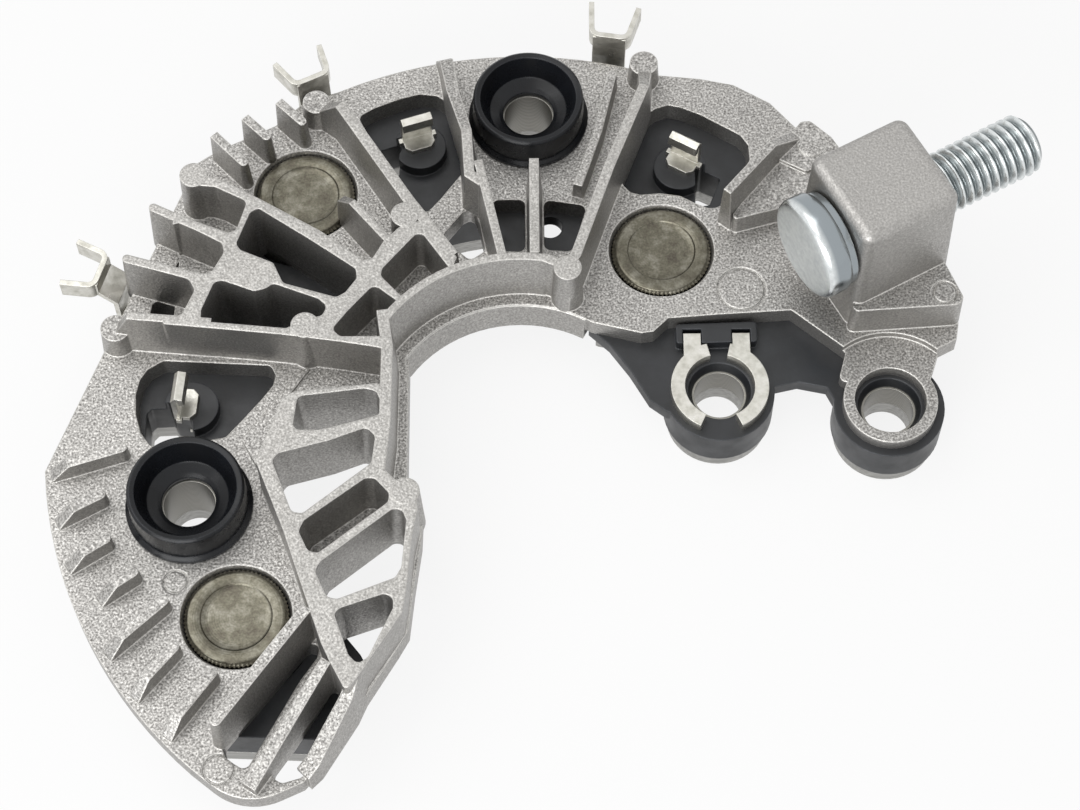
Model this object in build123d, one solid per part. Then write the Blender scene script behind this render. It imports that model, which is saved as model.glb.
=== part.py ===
from build123d import *
import math
import os

# Alternator rectifier: die-cast positive heat sink on a moulded connection plate
# and a sheet negative heat sink. Millimetres, Z up. The origin lies on the shaft
# axis of the alternator, in the resting plane under the negative heat sink.

os.makedirs("parts", exist_ok=True)

# Stack heights
NEG_T = 2.5                       # negative heat sink sheet
MOULD_T = 5.2                     # connection plate
CAST_T = 2.8                      # floor of the casting
Z_NEG = NEG_T                     # top of the negative heat sink
Z_MOULD = Z_NEG + MOULD_T         # top of the connection plate
Z0 = Z_MOULD + CAST_T             # top of the casting floor
FIN_H = 7.5                       # fins and ladder above the floor
LADDER_DROP = 1.6                 # ladder underside below the floor top
DRAFT = 3.0                       # draft of cast walls, degrees
CELL_DRAFT = 0.92                 # size of a cell at its bottom against its top

# Casting outline
R_LEFT = 58.7                     # outer radius, lower left
R_TOP = 55.0                      # outer radius, top
R_SHAFT = 17.3                    # shaft opening at floor level

# Ring wall round the shaft opening
RING_IN = 18.9
RING_OUT = 21.3
RING_LEAN = 0.7
COLLAR_DROP = 1.5
COLLAR_W = 1.4

# Press-fit diodes
DIODE_R = 6.4
DIODE_FACE_R = 5.9
DIODE_RECESS_R = 4.25
DIODE_H = 4.2
LEAD_L = 1.9
SEAT_CLEAR = 0.4
SEAT_COLLAR_R = 8.6
SEAT_COLLAR_DROP = 1.4
LEAD_R = 0.65

# Bolts, sleeves and insulating bushes
BOLT_R = 3.15
SLEEVE_R = 4.2
BUSH_TUBE_R = 5.2
BUSH_RIM_R = 7.15
BUSH_SEAT_R = 7.8
BUSH_H = 4.9
FIT = 0.1

# Output stud
STUD_R = 4.0
STUD_Z = Z0 + 12.5
STUD_ANGLE = 28.3
STUD_HEAD_R = 6.6
STUD_HEAD_T = 4.4
STUD_END = 22.2
STUD_CHAMFER = 0.8
STUD_GRIP = 0.2                   # extra radius of the serrated length in the block
HEAD_CLEAR = 0.4                  # head's seat in front of the block at the stud's height
BLOCK = 12.4                      # side that faces the stud's head, across the stud
BLOCK_LEAN = 0.6                  # growth of each side towards the rear and the foot
BLOCK_ROUND = 1.5
FLANGE_H = 5.2                    # flange at the foot of the block above the floor
BLOCK_TOP = Z0 + 20.0
BLOCK_AT = (44.4, 22.6)

# Cast details
BOSS_R = 1.75                     # ejector bosses on the fins
BOSS_FLARE = 0.35
EDGE_FIN_H = 5.3
EDGE_RIB_H = 2.6
EDGE_RIB_TAPER = 2.4              # sloping outer end of the small ribs

# Lugs on the right
LUG_LEFT = (25.1, 6.2)
LUG_RIGHT = (46.3, 3.8)
LUG_R = 6.95
EAR_R = 5.9
EAR_HOLE_R = 4.5
EAR_DROP = 1.0
EAR_ARC_R = 9.0

# Moulding, contacts and insets
MOULD_INSET = 1.8
NEG_INSET = 0.5
SLEEVE_DROP = 1.2                 # lug sleeves below the top of the moulding
LUG_MOUTH_R = 4.0                 # lead-in of the moulded lip above a lug sleeve
CONTACT_IN = 4.4
CONTACT_OUT = 6.15
CONTACT_T = 1.5
CONTACT_TAB_W = 2.2
WEB_T = 2.0                       # web of the connection plate between its lugs
NECK_W = 8.0
NECK_L = 13.0
VENT = (4.0, 30.3)                # round hole through the moulding
VENT_R = 1.6
VENT_RELIEF = 3.2                 # how far the wider hole under it lies towards the rim

# Phase strips
STRIP_T = 0.7
STRIP_Z = 4.6                     # underside of the flat runs inside the moulding
CLIP_W = 4.0
CLIP_OUT = 1.5                    # hook in front of the tower's axis
CLIP_BACK = -0.8                  # rear edge of its foot
TOWER_R = 3.4
TOWER_DROP = 1.0
FORK_H = 2.7
FORK_TOP = Z0 + 3.3
FORK_GAP = 4.7
STEM_W = 4.4

BUSH_LEFT = (-40.4, -10.35)
BUSH_TOP = (1.3, R_TOP - 9.65)
POS_DIODES = [(-34.1, -25.1), (-27.6, 33.8), (18.2, 25.1)]
NEG_DIODES = [(-33.5, 8.5), (-16.2, 32.6), (13.8, 37.0)]
CLIPS = [((-41.0, 3.8), 175.0), ((-12.9, 41.7), 108.0), ((21.0, 38.2), 60.0)]


def polar(radius, angle):
    a = math.radians(angle)
    return (radius * math.cos(a), radius * math.sin(a))


def contour(items):
    """Closed face from points; a triple (x, y, 1) is the middle of an arc."""
    loop = items + [items[0]]
    edges = []
    i = 0
    while i < len(loop) - 1:
        start = loop[i]
        if len(loop[i + 1]) == 3:
            edges.append(ThreePointArc(start, loop[i + 1][:2], loop[i + 2]))
            i += 2
        else:
            edges.append(Line(start, loop[i + 1]))
            i += 1
    return make_face(edges)


def corner_edges(points, radius):
    """Edges of a polygon with its corners rounded as far as its sides allow."""
    n = len(points)
    ends = []
    arcs = []
    for i in range(n):
        p = Vector(*points[i])
        a = Vector(*points[i - 1]) - p
        b = Vector(*points[(i + 1) % n]) - p
        angle = math.radians(a.get_angle(b))
        room = 0.46 * min(a.length, b.length)
        if angle > math.radians(168):
            ends.append((p, p))
            arcs.append(None)
            continue
        t = min(radius / math.tan(angle / 2), room)
        r = t * math.tan(angle / 2)
        first = p + a.normalized() * t
        last = p + b.normalized() * t
        way = (a.normalized() + b.normalized()).normalized()
        middle = p + way * (r / math.sin(angle / 2) - r)
        ends.append((first, last))
        arcs.append(middle)
    edges = []
    for i in range(n):
        if arcs[i] is not None:
            edges.append(ThreePointArc(ends[i][0], arcs[i], ends[i][1]))
        edges.append(Line(ends[i][1], ends[(i + 1) % n][0]))
    return edges


def rounded(points, radius):
    return make_face(corner_edges(points, radius))


def slab(face, z_low, z_high):
    return extrude(Pos(0, 0, z_low) * face, amount=z_high - z_low, dir=(0, 0, 1))


def shrunk(points, factor):
    cx = sum(p[0] for p in points) / len(points)
    cy = sum(p[1] for p in points) / len(points)
    return [(cx + (p[0] - cx) * factor, cy + (p[1] - cy) * factor) for p in points]


def cell(points, z_low, z_high=Z0 + FIN_H + 0.2, radius=0.9, factor=CELL_DRAFT):
    """Cutter for an opening that narrows towards its bottom, as cast."""
    top = Pos(0, 0, z_high) * rounded(points, radius)
    low = Pos(0, 0, z_low) * rounded(shrunk(points, factor), radius * factor)
    return loft([low, top], ruled=True)


def disc(at, radius, z_low, z_high):
    return Pos(at[0], at[1], z_low) * extrude(Circle(radius), amount=z_high - z_low)


def cone(at, r_low, r_high, z_low, z_high):
    body = Cone(r_low, r_high, z_high - z_low, align=(Align.CENTER, Align.CENTER, Align.MIN))
    return Pos(at[0], at[1], z_low) * body


def blade(stations, width, z_low=Z0 - 1.0, round_start=False, round_end=False):
    """Cast fin along (x, y, top) stations; width is its thickness at floor level."""
    slope = math.tan(math.radians(DRAFT))
    points = [Vector(s[0], s[1], 0) for s in stations]
    sections = []
    for i, s in enumerate(stations):
        before = points[i] - points[i - 1] if i > 0 else points[1] - points[0]
        after = points[i + 1] - points[i] if i < len(points) - 1 else before
        along = (before.normalized() + after.normalized()).normalized()
        side = Vector(-along.Y, along.X, 0)
        stretch = 1 / max(0.5, along.dot(before.normalized()))
        top = Z0 + s[2]
        low = (width / 2 + slope * (Z0 - z_low)) * stretch
        high = (width / 2 - slope * s[2]) * stretch
        corners = [
            points[i] + side * low + Vector(0, 0, z_low),
            points[i] + side * high + Vector(0, 0, top),
            points[i] - side * high + Vector(0, 0, top),
            points[i] - side * low + Vector(0, 0, z_low),
        ]
        sections.append(Face(Wire.make_polygon(corners, close=True)))
    solid = loft(sections, ruled=True)
    for flag, s in ((round_start, stations[0]), (round_end, stations[-1])):
        if flag:
            low = width / 2 + slope * (Z0 - z_low)
            solid = solid + cone(s[:2], low, width / 2 - slope * s[2], z_low, Z0 + s[2])
    return solid


def turned(profile, start, sweep):
    """Body of revolution about the shaft axis from a profile of (radius, z)."""
    face = make_face([Line(profile[i - 1], profile[i]) for i in range(len(profile))])
    upright = Plane.XZ * face
    return Rot(0, 0, start) * revolve(upright, axis=Axis.Z, revolution_arc=sweep)


def turned_at(at, profile):
    face = make_face([Line(profile[i - 1], profile[i]) for i in range(len(profile))])
    return Pos(at[0], at[1], 0) * revolve(Plane.XZ * face, axis=Axis.Z)


# Positive heat sink: floor of the casting
chord_low = polar(R_LEFT, 185.5)
tip_start = polar(R_LEFT, 228.6)
cast_outline = contour([
    chord_low,
    (*polar(R_LEFT, 207.0), 1),
    tip_start,
    (-36.0, -46.3),
    (-32.2, -47.9, 1),
    (-28.0, -47.2),
    (-25.4, -46.0),
    (-23.4, -43.6),
    (-18.2, -35.4),
    (-14.6, -29.4),
    (-13.4, -27.2),
    (-12.8, -21.5),
    (-12.0, -15.5),
    (-11.9, -12.2),
    (-12.4, -10.6),
    (-13.9, -7.6),
    (-13.9, 5.0),
    polar(R_SHAFT, 146.0),
    (*polar(R_SHAFT, 100.0), 1),
    polar(R_SHAFT, 58.0),
    (15.4, 13.1),
    (16.9, 13.3),
    (18.8, 15.2),
    (25.4, 15.7),
    (34.4, 16.2),
    (41.2, 10.4),
    (52.2, 10.3),
    (55.0, 11.8),
    (55.4, 14.0),
    (53.0, 20.6),
    (42.4, 36.6),
    (40.4, 39.4),
    (37.6, 41.9),
    (33.1, 47.3),
    (28.4, 50.2),
    (24.0, 51.2),
    polar(R_TOP, 70.5),
    (*polar(R_TOP, 92.0), 1),
    polar(R_TOP, 115.6),
    (-28.0, 48.2),
    (-31.9, 44.4),
    (-37.6, 41.5),
    (-40.3, 39.9),
    (-41.8, 38.8),
    (-42.6, 36.8),
])

floor = slab(cast_outline, Z0 - CAST_T, Z0)
ladder_gap = [
    (-28.6, 1.2), (-17.0, 2.0), (-16.6, -9.6), (-14.0, -12.4), (-14.0, -27.6),
    (-19.6, -36.4), (-22.4, -33.4), (-24.6, -26.6), (-27.6, -17.0), (-31.2, -7.4), (-29.4, -3.4),
]
floor -= slab(rounded(ladder_gap, 0.6), Z0 - CAST_T - 1, Z0 + 1)

# Ring wall, ledge and collar round the shaft opening
ring_profile = [
    (R_SHAFT - 0.6, Z0 - CAST_T - COLLAR_DROP),
    (R_SHAFT, Z0),
    (RING_IN, Z0),
    (RING_IN + RING_LEAN, Z0 + FIN_H),
    (RING_OUT - RING_LEAN, Z0 + FIN_H),
    (RING_OUT, Z0),
    (RING_OUT, Z0 - CAST_T),
    (R_SHAFT + COLLAR_W, Z0 - CAST_T),
    (R_SHAFT + COLLAR_W - 0.3, Z0 - CAST_T - COLLAR_DROP),
]
collar_profile = [
    ring_profile[0],
    (R_SHAFT - 0.1, Z0 - 0.2),
    (R_SHAFT + COLLAR_W, Z0 - 0.2),
    (R_SHAFT + COLLAR_W, Z0 - CAST_T),
    ring_profile[-1],
]
ring = turned(ring_profile, 80.0, 66.0)
collar = turned(collar_profile, 61.2, 84.8)
ring_rail = blade([(-16.9, 12.6, FIN_H), (-16.2, 7.5, FIN_H), (-16.3, -3.0, FIN_H), (-16.9, -9.6, FIN_H),
                   (-14.6, -12.0, FIN_H)], 2.2, z_low=Z0 - CAST_T)
rail_collar = slab(rounded([(-13.9, 9.6), (-15.2, 9.8), (-15.2, -7.6), (-13.9, -7.6)], 0.4),
                   Z0 - CAST_T - COLLAR_DROP, Z0 - 0.2)
ring_end = blade([(6.0, 18.4, FIN_H), (7.0, 16.6, 3.0)], 1.8)
ring_corner = blade([(3.2, 19.9, FIN_H), (6.0, 18.6, FIN_H)], 2.0)

# Rib network at the upper left, cut by through cells and floored cells
network_area = [
    (-44.0, 10.9), (-29.4, 9.3), (-22.0, 8.2), (-17.5, 7.4), (-15.9, 6.9), (-16.3, 10.9),
    (-13.9, 14.2), (-11.3, 16.4), (-8.4, 18.2), (-7.7, 20.0), (-12.2, 25.4), (-15.0, 24.4),
    (-16.9, 22.4), (-18.2, 20.0), (-19.4, 19.7), (-24.9, 24.0), (-33.6, 29.3), (-38.0, 31.4),
    (-42.0, 31.9), (-43.4, 26.4), (-43.6, 18.4),
]
network = slab(rounded(network_area, 0.4), Z0 - 0.5, Z0 + FIN_H)
through_cells = [
    [(-32.6, 27.5), (-20.3, 18.5), (-20.1, 17.1), (-21.5, 15.1), (-22.6, 14.4), (-29.3, 16.5),
     (-30.6, 19.4), (-34.8, 21.3), (-35.4, 22.2), (-33.8, 26.8)],
    [(-37.9, 16.7), (-36.9, 17.0), (-32.8, 15.4), (-31.4, 15.8), (-30.5, 16.5), (-24.9, 14.3),
     (-23.7, 13.2), (-24.3, 11.8), (-25.4, 11.6), (-28.7, 10.1), (-39.3, 11.2), (-39.3, 12.8)],
]
floored_cells = [
    [(-18.0, 16.2), (-15.0, 13.8), (-14.9, 12.2), (-16.6, 8.9), (-22.0, 8.9), (-23.1, 9.9), (-21.1, 12.6)],
    [(-12.4, 24.0), (-8.6, 18.4), (-9.0, 17.6), (-13.5, 14.3), (-14.5, 14.4), (-17.2, 17.4), (-17.0, 18.5)],
    [(-38.4, 30.6), (-34.2, 28.4), (-35.4, 24.2), (-36.4, 23.8), (-40.3, 25.4), (-47.0, 28.6), (-47.0, 31.4)],
    [(-48.0, 23.6), (-42.5, 25.4), (-37.1, 22.3), (-36.8, 21.0), (-38.2, 18.2), (-39.0, 17.9), (-48.0, 20.0)],
    [(-48.0, 19.6), (-42.1, 17.8), (-40.9, 17.0), (-40.2, 15.6), (-41.6, 12.2), (-42.4, 11.9), (-48.0, 12.4)],
]
floor_holes = [
    [(-42.2, 27.4), (-36.6, 24.9), (-35.6, 25.2), (-34.7, 28.0), (-38.4, 30.0), (-41.4, 30.2)],
    [(-45.2, 20.2), (-39.4, 18.6), (-38.4, 18.8), (-37.3, 21.0), (-37.8, 22.0), (-43.2, 24.8)],
    [(-47.4, 13.2), (-42.6, 12.5), (-41.8, 12.8), (-40.8, 15.6), (-41.4, 16.7), (-46.4, 18.4)],
    [(-19.2, 13.2), (-16.9, 14.0), (-16.7, 12.8), (-18.4, 11.8)],
]
for points in through_cells:
    network -= cell(points, Z0 - CAST_T - 0.2)
    floor -= cell(points, Z0 - CAST_T - 0.2)
for points in floored_cells:
    network -= cell(points, Z0, factor=0.96)
for points in floor_holes:
    floor -= cell(points, Z0 - CAST_T - 0.2, z_high=Z0 + 0.1, radius=0.6)

# Ladder of ribs at the lower left, open between its bars
ladder_area = [
    (-28.8, 0.6), (-27.2, 1.4), (-23.0, 1.8), (-17.2, 2.4), (-16.4, 1.0), (-16.8, -9.4),
    (-15.2, -10.6), (-12.4, -10.9), (-12.2, -14.7), (-12.8, -18.0), (-13.4, -25.0), (-13.8, -27.8),
    (-14.8, -29.4), (-18.9, -35.9), (-20.2, -37.6), (-22.2, -33.8), (-23.2, -31.6), (-25.2, -25.8),
    (-28.1, -17.2), (-31.8, -7.8), (-30.2, -3.6),
]
ladder_low = Z0 - LADDER_DROP
ladder = slab(rounded(ladder_area, 0.5), ladder_low, Z0 + FIN_H)
ladder_cells = [
    [(-27.0, 0.7), (-18.8, 1.7), (-17.4, 1.3), (-16.8, -0.2), (-16.8, -1.9), (-22.9, -3.6),
     (-24.3, -3.9), (-27.5, -3.9)],
    [(-29.8, -7.9), (-29.1, -7.0), (-22.9, -5.3), (-18.5, -3.6), (-17.4, -4.8), (-17.8, -8.4),
     (-25.9, -15.0), (-27.2, -14.8)],
    [(-24.2, -22.5), (-23.6, -21.3), (-15.2, -14.5), (-14.0, -14.6), (-13.5, -16.0), (-14.0, -22.1),
     (-14.7, -23.4), (-21.5, -26.1), (-22.7, -25.8)],
    [(-21.8, -27.9), (-21.1, -27.2), (-15.9, -25.4), (-14.9, -26.0), (-14.9, -27.3), (-17.7, -33.4),
     (-18.9, -34.3), (-20.0, -33.1)],
]
webbed_cell = [(-26.3, -17.3), (-25.7, -15.9), (-18.5, -10.4), (-17.4, -10.4), (-15.6, -12.4),
               (-15.7, -13.6), (-23.9, -20.2), (-25.1, -19.9)]
for points in ladder_cells:
    ladder -= cell(points, ladder_low - 0.2)
ladder -= cell(webbed_cell, ladder_low + 1.2)
rim = slab(contour([
    (-12.4, -10.9), (-12.0, -15.5), (-12.8, -21.5), (-13.4, -27.2), (-14.6, -29.4), (-18.2, -35.4),
    (-19.6, -34.8), (-15.9, -28.9), (-14.9, -26.6), (-13.9, -21.5), (-13.4, -15.5), (-14.0, -11.4),
]), Z0 - CAST_T, Z0 + 0.5)

# Long fins
fins = [
    blade([(-39.8, 17.4, FIN_H), (-42.6, 18.3, FIN_H), (-48.9, 20.2, FIN_H)], 1.9, round_end=True),
    blade([(-36.0, 22.7, FIN_H), (-42.0, 25.6, FIN_H), (-46.0, 27.6, FIN_H)], 1.9, round_end=True),
    blade([(-38.0, 11.1, FIN_H), (-48.4, 12.1, FIN_H), (-50.2, 12.4, 3.7)], 1.8),
    blade([(-41.2, 32.3, FIN_H), (-37.4, 30.9, FIN_H), (-33.4, 28.5, FIN_H), (-18.9, 18.4, FIN_H)], 1.9),
    blade([(-25.4, 44.9, 3.6), (-22.9, 42.9, FIN_H), (-13.9, 28.5, FIN_H), (-8.2, 20.3, FIN_H)], 2.2),
    blade([(-22.6, 30.2, 5.0), (-21.0, 28.2, FIN_H), (-16.2, 22.4, FIN_H)], 1.7),
    blade([(-25.0, -26.9, FIN_H - 0.3), (-35.1, -40.8, FIN_H - 0.5)], 2.1, round_end=True),
    blade([(-22.6, -33.5, FIN_H - 0.5), (-31.6, -47.0, 1.6)], 2.0, z_low=Z0 - CAST_T),
    blade([(-19.0, -34.4, FIN_H), (-20.3, -37.5, 5.2), (-24.2, -44.0, 1.8), (-25.4, -45.2, 0.8)], 2.1,
          z_low=Z0 - CAST_T + 0.4),
    blade([(-9.9, 54.2, 0.6), (-9.4, 52.2, 3.5), (-8.5, 46.2, 5.5), (-6.6, 38.7, FIN_H),
           (-6.2, 32.2, FIN_H), (-4.6, 31.0, FIN_H)], 2.1),
    blade([(-5.1, 34.2, FIN_H), (-2.1, 20.4, FIN_H)], 1.9),
    blade([(2.0, 34.4, FIN_H), (2.0, 20.6, FIN_H)], 2.0),
    blade([(16.6, 49.9, 3.7), (16.3, 45.4, FIN_H), (11.6, 33.3, FIN_H), (7.2, 20.4, FIN_H),
           (6.1, 18.4, FIN_H)], 2.1),
    blade([(12.3, 49.9, 3.2), (10.3, 41.4, 3.0), (8.6, 36.1, 3.0), (7.6, 33.1, 3.0)], 1.5,
          round_start=True),
    blade([(26.3, 28.6, 8.5), (32.4, 36.0, 8.0), (35.8, 39.6, 4.2)], 2.0),
]
LONG_FINS = len(fins)
# Short edge fins at the upper left: inner end and outer end
EDGE_FINS = [
    ((-35.2, 35.6), (-39.2, 39.8)), ((-32.4, 39.5), (-35.3, 42.4)), ((-27.9, 41.7), (-31.0, 44.8)),
]
for inner, outer in EDGE_FINS:
    fins.append(blade([(*inner, EDGE_FIN_H), (*outer, EDGE_FIN_H)], 1.7, round_start=True))
# Small ribs along the left edge: inner end and outer end
EDGE_RIBS = [
    ((-48.8, -3.6), (-57.6, -6.4)), ((-51.0, -9.9), (-56.4, -12.9)), ((-50.0, -15.8), (-54.7, -18.9)),
    ((-46.4, -20.2), (-50.6, -23.2)), ((-42.6, -24.0), (-49.2, -30.2)), ((-41.0, -29.9), (-45.7, -35.6)),
    ((-36.4, -33.3), (-41.6, -40.5)),
]
for inner, outer in EDGE_RIBS:
    run = Vector(*outer) - Vector(*inner)
    knee = Vector(*inner) + run * (1 - EDGE_RIB_TAPER / run.length)
    line = [(*inner, EDGE_RIB_H), (knee.X, knee.Y, EDGE_RIB_H), (*outer, 0.3)]
    fins.append(blade(line, 1.6, round_start=True))

# Raised strip beside the ladder, ledge by the rear bush and pads
pads = [
    slab(rounded([(-34.4, -1.6), (-27.6, 7.6), (-25.8, 8.8), (-28.6, 4.6), (-28.6, 0.6), (-29.8, -3.4),
                  (-31.4, -7.2)], 0.4), Z0 - 0.5, Z0 + 0.5),
    slab(rounded([(-4.4, 34.9), (5.6, 34.9), (9.8, 32.4), (7.2, 21.0), (-2.6, 20.2), (-5.6, 31.4)], 0.5),
         Z0 - CAST_T, Z0 - 0.6),
    cell([(41.0, 13.0), (54.8, 13.9), (55.5, 14.8), (53.3, 20.3), (46.0, 23.0)], Z0 - 0.5,
         Z0 + FLANGE_H, 0.8, 1.03),
    slab(rounded([(26.6, 27.3), (33.4, 29.2), (38.0, 32.0), (37.0, 38.0), (33.0, 36.4)], 0.5),
         Z0 - 0.5, Z0 + 3.4),
    slab(rounded([(36.6, 41.8), (32.6, 36.6), (37.0, 34.2), (41.8, 37.0), (40.4, 39.4), (37.8, 41.9)], 0.8),
         Z0 - 0.5, Z0 + 4.0),
    slab(rounded([(39.9, 6.4), (41.0, 10.4), (42.0, 14.0), (52.0, 14.0), (52.6, 9.9), (51.4, 6.4)], 0.8),
         Z0 - CAST_T, Z0),
]
FLAT_PADS = len(pads)
BOSSES = [
    ((-26.4, 10.5), BOSS_R, FIN_H + 0.1), ((-14.3, 26.2), BOSS_R, FIN_H + 0.1),
    ((-41.2, 32.3), BOSS_R, FIN_H + 0.1), ((6.1, 18.3), BOSS_R, FIN_H + 0.1),
    ((-13.7, -12.2), BOSS_R, FIN_H + 0.1), ((-50.4, 12.4), BOSS_R + 0.1, 3.7),
    ((-26.3, 45.7), BOSS_R, 3.7), ((16.5, 51.3), BOSS_R + 0.1, 3.7), ((37.8, 38.4), BOSS_R + 0.15, 4.15),
]
for at, radius, high in BOSSES:
    pads.append(cone(at, radius + BOSS_FLARE, radius, Z0 - 1.5, Z0 + high))

# Square block that carries the output stud
block_turn = Pos(*BLOCK_AT, 0) * Rot(0, 0, STUD_ANGLE)
top_side = BLOCK + 2 * BLOCK_LEAN
foot_side = top_side + 2 * BLOCK_LEAN
block_top = Pos(BLOCK_LEAN, BLOCK_LEAN, BLOCK_TOP) * RectangleRounded(top_side, top_side, BLOCK_ROUND)
block_foot = Pos(BLOCK_LEAN, BLOCK_LEAN, Z0 - CAST_T) * RectangleRounded(foot_side, foot_side, BLOCK_ROUND)
block = block_turn * loft([block_foot, block_top], ruled=True)
block = fillet(block.faces().sort_by(Axis.Z)[-1].edges(), BLOCK_ROUND - 0.2)

# Seats of the pressed diodes and the ear over the right lug
collars = []
for at in POS_DIODES:
    collars.append(disc(at, SEAT_COLLAR_R, Z0 - CAST_T - SEAT_COLLAR_DROP, Z0 - 0.1))
ear = disc(LUG_RIGHT, EAR_R, Z0 - CAST_T, Z0 - EAR_DROP)

casting = floor
for piece in [ring, collar, ring_rail, rail_collar, ring_end, ring_corner, network, ladder, rim, block, ear]:
    casting = casting.fuse(piece)
for piece in fins[:LONG_FINS] + pads[:FLAT_PADS]:
    casting = casting.fuse(piece)
casting = casting.fuse(*fins[LONG_FINS:])
casting = casting.fuse(*pads[FLAT_PADS:])
casting = casting.fuse(*collars)

# Windows through the floor
windows = [
    [(-44.7, 9.7), (-46.6, 8.5), (-47.5, 7.0), (-47.9, 4.9), (-47.7, 2.1), (-47.0, -0.4), (-45.7, -2.2),
     (-44.5, -2.6), (-38.9, -1.6), (-36.4, -1.1), (-34.4, 1.3), (-32.1, 4.2), (-30.8, 6.1), (-30.5, 7.5),
     (-31.2, 8.9)],
    [(-21.1, 45.7), (-18.9, 47.1), (-15.6, 48.5), (-13.0, 49.2), (-10.7, 48.9), (-9.4, 47.8), (-8.6, 46.4),
     (-6.9, 38.2), (-7.2, 37.1), (-10.2, 32.9), (-11.9, 30.9), (-13.0, 31.8), (-15.4, 35.2), (-18.1, 39.8)],
    [(-10.0, 27.3), (-7.3, 30.9), (-6.3, 31.4), (-5.6, 30.9), (-5.0, 29.0), (-4.3, 25.2), (-6.3, 23.8)],
    [(-3.6, 32.8), (0.8, 32.8), (0.8, 25.0), (-2.3, 25.2)],
    [(3.2, 32.8), (8.8, 31.8), (6.8, 25.0), (3.2, 25.3)],
    [(17.0, 45.8), (18.0, 46.6), (19.7, 47.2), (21.3, 46.8), (23.9, 45.6), (29.0, 42.4), (30.0, 40.8),
     (30.1, 38.5), (27.1, 34.0), (26.2, 31.7), (25.3, 31.3), (24.4, 31.3), (22.7, 32.1), (20.8, 33.2),
     (18.3, 33.6), (15.7, 33.4), (14.4, 33.8), (13.5, 34.9), (13.3, 36.0)],
    [(-35.1, -41.3), (-34.7, -42.8), (-32.2, -44.6), (-30.4, -41.3), (-26.2, -33.4), (-24.2, -30.4),
     (-24.0, -28.8), (-25.4, -28.6)],
    [(-21.9, -32.6), (-21.2, -36.0), (-22.3, -39.1), (-25.1, -44.6), (-25.6, -45.4), (-27.9, -46.1),
     (-28.9, -45.5), (-29.1, -44.5), (-26.6, -40.8)],
]
cuts = []
for points in windows:
    cuts.append(cell(points, Z0 - CAST_T - 0.2, z_high=Z0 + 0.01, radius=0.9, factor=0.97))
for at in POS_DIODES:
    cuts.append(disc(at, DIODE_R, 0, Z0 + 1))
    cuts.append(cone(at, DIODE_R, DIODE_R + SEAT_CLEAR, Z0 - 0.8, Z0 + 0.01))
for at in (BUSH_LEFT, BUSH_TOP):
    cuts.append(disc(at, BUSH_TUBE_R + FIT, 0, Z0 + 1))
cuts.append(disc(LUG_RIGHT, EAR_HOLE_R, 0, Z0 + 1))
cuts.append(disc(LUG_RIGHT, EAR_ARC_R, Z0 - EAR_DROP, Z0 + 1))
cuts.append(block_turn * Pos(0, 0, STUD_Z) * Rot(0, 90, 0) * Cylinder(STUD_R + STUD_GRIP, 4 * BLOCK))
# Shallow rings left by the ejector pins
EJECTOR_MARKS = [
    ((28.2, 19.3), 3.0, 0.0), ((-35.3, -44.3), 1.8, 0.0), ((-41.6, -20.5), 1.45, 0.0),
    ((53.1, 15.6), 1.5, FLANGE_H),
]
for at, radius, high in EJECTOR_MARKS:
    z = Z0 + high
    cuts.append(disc(at, radius + 0.15, z - 0.2, z + 0.01) - disc(at, radius - 0.15, z - 0.3, z + 0.1))
casting = casting.cut(*cuts)
print("casting", round(casting.volume / 1000, 2), "cm3", casting.is_valid, len(casting.solids()), "solids")
export_step(casting, "parts/positive_heat_sink.step")


def sheet(path, thickness, width, at, angle):
    """Bent sheet: a path of (outward, z) points seen from the side, extruded to its width."""
    plane = Plane(origin=(at[0], at[1], 0), x_dir=(*polar(1, angle), 0), z_dir=(*polar(1, angle - 90), 0))
    face = trace(Polyline(*path), line_width=thickness)
    return extrude(plane * face, amount=width / 2, both=True)


def flat_strip(path, width):
    return slab(trace(Polyline(*path), line_width=width), STRIP_Z, STRIP_Z + STRIP_T)


# Pressed-in diodes, three in each heat sink
def diode(at, face_z, way):
    z = [face_z - way * d for d in (0, 0.3, 0.9, DIODE_H, DIODE_H + LEAD_L)]
    body = turned_at(at, [
        (0, z[1]), (DIODE_RECESS_R, z[1]), (DIODE_RECESS_R + 0.25, z[0]), (DIODE_FACE_R, z[0]),
        (DIODE_R - 0.1, z[1]), (DIODE_R - 0.1, z[2]), (DIODE_R, z[2]), (DIODE_R, z[3]),
        (LEAD_R, z[3]), (LEAD_R, z[4]), (0, z[4]),
    ])
    return body


for i, at in enumerate(POS_DIODES):
    export_step(diode(at, Z0 + 0.05, 1), f"parts/positive_diode_{i + 1}.step")
for i, at in enumerate(NEG_DIODES):
    export_step(diode(at, 0.0, -1), f"parts/negative_diode_{i + 1}.step")


# Phase strips: fork outside the casting, flat run inside the moulding, clip in a window
def fork(at, angle, lean, splay, leg):
    """Upright fork that takes a stator lead, on a stem that comes out of the moulding."""
    n = polar(1, angle)
    t = polar(1, angle + 90)
    half = FORK_GAP / 2

    def spot(out, across):
        return (at[0] + n[0] * out + t[0] * across, at[1] + n[1] * out + t[1] * across)

    legs = []
    for side, spread in ((1, splay[0]), (-1, splay[1])):
        turn = math.radians(spread)
        legs.append(spot(leg * math.cos(turn), side * (half + leg * math.sin(turn))))
    plan = FilletPolyline(legs[0], spot(0, half), spot(0, -half), legs[1], radius=1.1)
    cup = slab(trace(plan, line_width=STRIP_T), FORK_TOP - FORK_H, FORK_TOP)
    cup_low = FORK_TOP - FORK_H + 0.4
    stem = sheet([(0, FORK_TOP - 0.3), (0, cup_low), (-lean, Z0 - 0.6), (-lean, STRIP_Z)],
                 STRIP_T, STEM_W, at, angle)
    return cup + stem


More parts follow.
